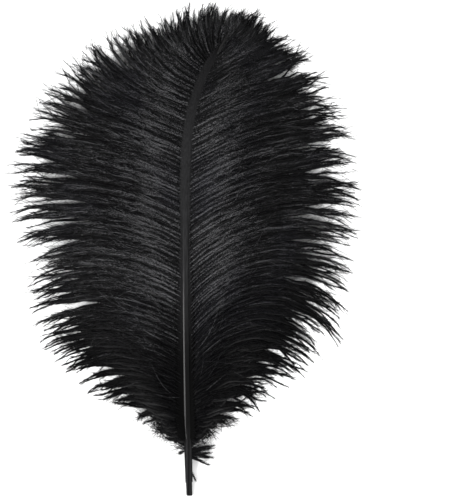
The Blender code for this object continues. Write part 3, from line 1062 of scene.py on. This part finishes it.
# Barb bases: the strip on each side of the shaft where the barbs' roots run together before they
# part. It follows the vane from the shaft's middle out over the bare length, climbs to the shaft by
# an even S, and has a ridge for every barb that fades towards the shaft.
def makeBarbBases(side):
    rows, columns = baseForm["rows"], baseForm["columns"]
    share = np.linspace(0.004, 0.99, rows)[:, None] + np.zeros((1, columns))
    place = spreadPlaces(side, share, barbSets["upper"]["rimShare"])
    v = np.linspace(0, 1, columns)[None, :] + np.zeros((rows, 1))
    ridge = np.cos(2 * np.pi * share * barbSets["upper"]["barbs"] - np.pi)
    rootY = barbRoot(place)[1]
    chord = barbChord(side, place)
    reach = (bareBase(side, place) + 0.6) * (1 + 0.1 * ridge * v)
    distance = np.minimum(reach, 0.4 * chord) * v
    x, y, top, underside = vanePlace(side, place, distance / chord)
    above = easeStep(*baseForm["stepY"], rootY)
    climb = baseForm["lowFillet"] + (baseForm["fillet"] - baseForm["lowFillet"]) * above
    width = shaftWidth(rootY)
    fillet = climb * width * (1 - easeStep(0.42 * width, 0.5 * width + baseForm["filletWidth"], distance))
    sinking = baseForm["edgeSink"] * v**3 * (1 - 0.7 * above)
    upper = np.stack([x, y, top + fillet + baseForm["ridge"] * (ridge - 1) * v - sinking], -1)
    lower = upper - [0, 0, baseForm["thickness"]]
    rim = columns * rows
    points = np.concatenate([upper.reshape(-1, 3), lower.reshape(-1, 3)])
    low = np.arange(rows - 1)[:, None] * columns + np.arange(columns - 1)
    a, b, c, d = low, low + 1, low + columns + 1, low + columns
    skin = np.concatenate([np.stack([a, b, c], -1), np.stack([a, c, d], -1)], 0).reshape(-1, 3)
    loop = np.concatenate(
        [
            np.arange(columns - 1),
            np.arange(rows - 1) * columns + columns - 1,
            (rows - 1) * columns + np.arange(columns - 1, 0, -1),
            np.arange(rows - 1, 0, -1) * columns,
        ]
    )
    after = np.roll(loop, -1)
    walls = np.concatenate(
        [np.stack([loop, loop + rim, after], -1), np.stack([after, loop + rim, after + rim], -1)]
    )
    triangles = np.concatenate([skin, skin[:, ::-1] + rim, walls])
    if side < 0:
        triangles = triangles[:, ::-1]
    # Darker towards the lower end, and in the lower shaft darker towards its outer edge: painted shade where
    # the strip sinks under the barbs
    tone = easeStep(*baseForm["toneY"], rootY) * (1 - 0.3 * easeStep(*wearAndLightForm["tipY"], rootY))
    return points, triangles, np.tile((tone * (1 - 0.7 * v**2 * (1 - above))).ravel(), 2)


newPiece("barb_bases", [makeBarbBases(-1), makeBarbBases(1)], rootMaterial)

# Stubs of stripped barbs on the quill: height on it, side, length, angle over straight outwards,
# how far the end bends, and the width that the stub's strands spread over
stubRows = (
    (-111.6, 1, 15.9, 9, 0.3, 2.6),
    (-112.5, 1, 15.9, 5, 0.6, 2.8),
    (-113.3, 1, 14.2, 0, 0.2, 2.8),
    (-114.2, 1, 15.0, -5, -0.8, 2.8),
    (-114.9, 1, 14.6, -19, -1.4, 2.0),
    (-121.0, 1, 8.2, -58, -1.8, 1.0),
    (-109.0, -1, 9.0, 14, 1.5, 1.8),
    (-111.0, -1, 6.5, -20, -1.0, 1.4),
)
stubForm = {
    "strands": 13,
    "stations": 9,
    "radius": 0.3,
    "barbules": 150,
    "barbuleLength": 2.2,
    "barbuleWidth": 0.18,
    "tones": (0.02, 0.22),
}


# A stub: strands that leave the quill together, follow a straight line with a square bend, spread
# over the stub's width and come together again at its point, with short barbules along them
def makeStub(row, seed):
    rng = np.random.default_rng(seed)
    rootY, side, length, angle, bend, width = row
    count, stations = stubForm["strands"], stubForm["stations"]
    spread = rng.uniform(-0.5, 0.5, count)[:, None] * width
    share = np.linspace(0, 1, stations)[None, :]
    out = share * length * rng.uniform(0.72, 1.0, count)[:, None]
    gathered = 0.5 + 0.8 * share - 1.0 * share**2
    x = shaftX(rootY) + side * (out * np.cos(np.radians(angle)))
    y = rootY + out * np.sin(np.radians(angle)) + bend * share**2 + spread * gathered
    y = y + rng.normal(0, 0.25, count)[:, None] * np.sin(np.pi * share * 2)
    z = shaftZ(rootY) * (1 - 0.5 * share) + rng.uniform(-0.5, 0.6, count)[:, None]
    lines = np.stack([x, y, np.maximum(z, 0.3)], -1)
    radii = stubForm["radius"] * (1 - 0.75 * share**1.5) + np.zeros((count, 1))
    tone = np.repeat(rng.uniform(*stubForm["tones"], count)[:, None], stations, 1)
    stems = strands(lines, radii, radii, tone)
    number = stubForm["barbules"]
    pick = rng.integers(0, count, number)
    at = rng.integers(2, stations - 1, number)
    along, sideways, up = lineAxes(lines[pick, at - 1], lines[pick, at + 1])
    opening = np.radians(rng.normal(0, 22, number))[:, None]
    first = unit(along * np.cos(opening) + sideways * np.sin(opening))
    second = unit(first + along * 0.4)
    lengths = stubForm["barbuleLength"] * rng.uniform(0.5, 1.3, number)
    fluffTone = rng.uniform(*stubForm["tones"], number)
    fluff = barbuleShapes(lines[pick, at], first, second, lengths, stubForm["barbuleWidth"], fluffTone)
    return [stems, fluff]


downForm = {
    "number": 340,
    "stations": 8,
    "length": (4.0, 12.0),
    "radius": 0.17,
    "wave": 0.55,
    "rootY": (-112.0, -96.0),
    "rootOut": 1.5,
    "angle": (28, 26),  # degrees over straight outwards, and how widely they differ
    "tones": (0.03, 0.3),
}


# Curled down round the collar, where the vane starts: strands that leave the shaft in all
# directions outwards and upwards and wave from side to side by a growing sine
def makeCollarDown(seed):
    rng = np.random.default_rng(seed)
    count, stations = downForm["number"], downForm["stations"]
    rootY = rng.uniform(*downForm["rootY"], count)
    side = rng.choice((-1.0, 1.0), count)
    rootZ = shaftZ(rootY) + rng.uniform(-0.8, 0.6, count)
    root = np.stack([shaftX(rootY) + side * downForm["rootOut"], rootY, rootZ], -1)
    angle = np.radians(rng.normal(*downForm["angle"], count))
    heading = np.stack([side * np.cos(angle), np.sin(angle), rng.normal(-0.02, 0.12, count)], -1)
    across = np.stack([-heading[:, 1], heading[:, 0], 0 * angle], -1)
    share = np.linspace(0, 1, stations)[None, :]
    length = rng.uniform(*downForm["length"], count)[:, None]
    turn = share * rng.uniform(5, 12, count)[:, None] + rng.uniform(0, 2 * np.pi, count)[:, None]
    aside = downForm["wave"] * share * np.sin(turn)
    aside = aside + rng.normal(0, 0.35, count)[:, None] * share**2 * length
    lines = root[:, None] + heading[:, None] * (share * length)[..., None]
    lines = lines + across[:, None] * aside[..., None]
    lines[..., 2] = np.maximum(lines[..., 2], 0.15)
    radii = downForm["radius"] * (1 - 0.6 * share) + np.zeros((count, 1))
    tone = np.repeat(rng.uniform(*downForm["tones"], count)[:, None], stations, 1)
    return strands(lines, radii, radii, tone)


stubs = [part for i, row in enumerate(stubRows) for part in makeStub(row, seeds["stubs"] + i)]
newPiece("stripped_stubs", stubs, barbMaterial)
newPiece("collar_down", [makeCollarDown(seeds["down"])], barbMaterial)

# The studio: millimetres for the camera, metres for the floor and the lights
view = {"middleX": 25.2, "middleY": 0.8, "height": 280.0, "distance": 1200.0, "focusZ": 8.0}
studio = {
    "floorSize": 6.0,
    "paper": (0.87, 0.87, 0.87, 1),
    "paperRoughness": 0.9,
    "roomStrength": 1.3,
    "key": {"place": (-0.9, -0.35, 1.3), "size": (0.55, 0.55), "power": 23},
    "fill": {"place": (1.1, 0.5, 1.2), "size": (1.2, 1.2), "power": 6},
}


# A floor of pale paper in an evenly white room
def makeStage():
    bpy.ops.mesh.primitive_plane_add(size=studio["floorSize"], location=(0, 0, 0))
    floor = bpy.context.object
    floor.name = "floor"
    paper = bpy.data.materials.new("palePaper")
    paper.use_nodes = True
    shader = paper.node_tree.nodes["Principled BSDF"]
    shader.inputs["Base Color"].default_value = studio["paper"]
    shader.inputs["Roughness"].default_value = studio["paperRoughness"]
    floor.data.materials.append(paper)

    world = bpy.data.worlds.new("softRoom")
    bpy.context.scene.world = world
    world.use_nodes = True
    world.node_tree.nodes["Background"].inputs["Color"].default_value = (1, 1, 1, 1)
    world.node_tree.nodes["Background"].inputs["Strength"].default_value = studio["roomStrength"]


# A rectangular light that faces the plume's middle
def addLight(name, place, size, power):
    data = bpy.data.lights.new(name, "AREA")
    data.shape = "RECTANGLE"
    data.size, data.size_y = size
    data.energy = power
    light = bpy.data.objects.new(name, data)
    bpy.context.scene.collection.objects.link(light)
    light.location = place
    light.rotation_mode = "QUATERNION"
    light.rotation_quaternion = (-light.location).to_track_quat("-Z", "Y")


# A camera that looks straight down; its lens takes in the view's height, measured at focusZ
def makeCamera():
    data = bpy.data.cameras.new("camera")
    data.sensor_width = 36.0
    data.lens = data.sensor_width * (view["distance"] - view["focusZ"]) / view["height"]
    camera = bpy.data.objects.new("camera", data)
    camera.location = np.array([view["middleX"], view["middleY"], view["distance"]]) * metre
    bpy.context.scene.collection.objects.link(camera)
    bpy.context.scene.camera = camera


makeStage()
for name in ("key", "fill"):
    addLight(name, **studio[name])
makeCamera()
bpy.context.scene.view_settings.view_transform = "Standard"
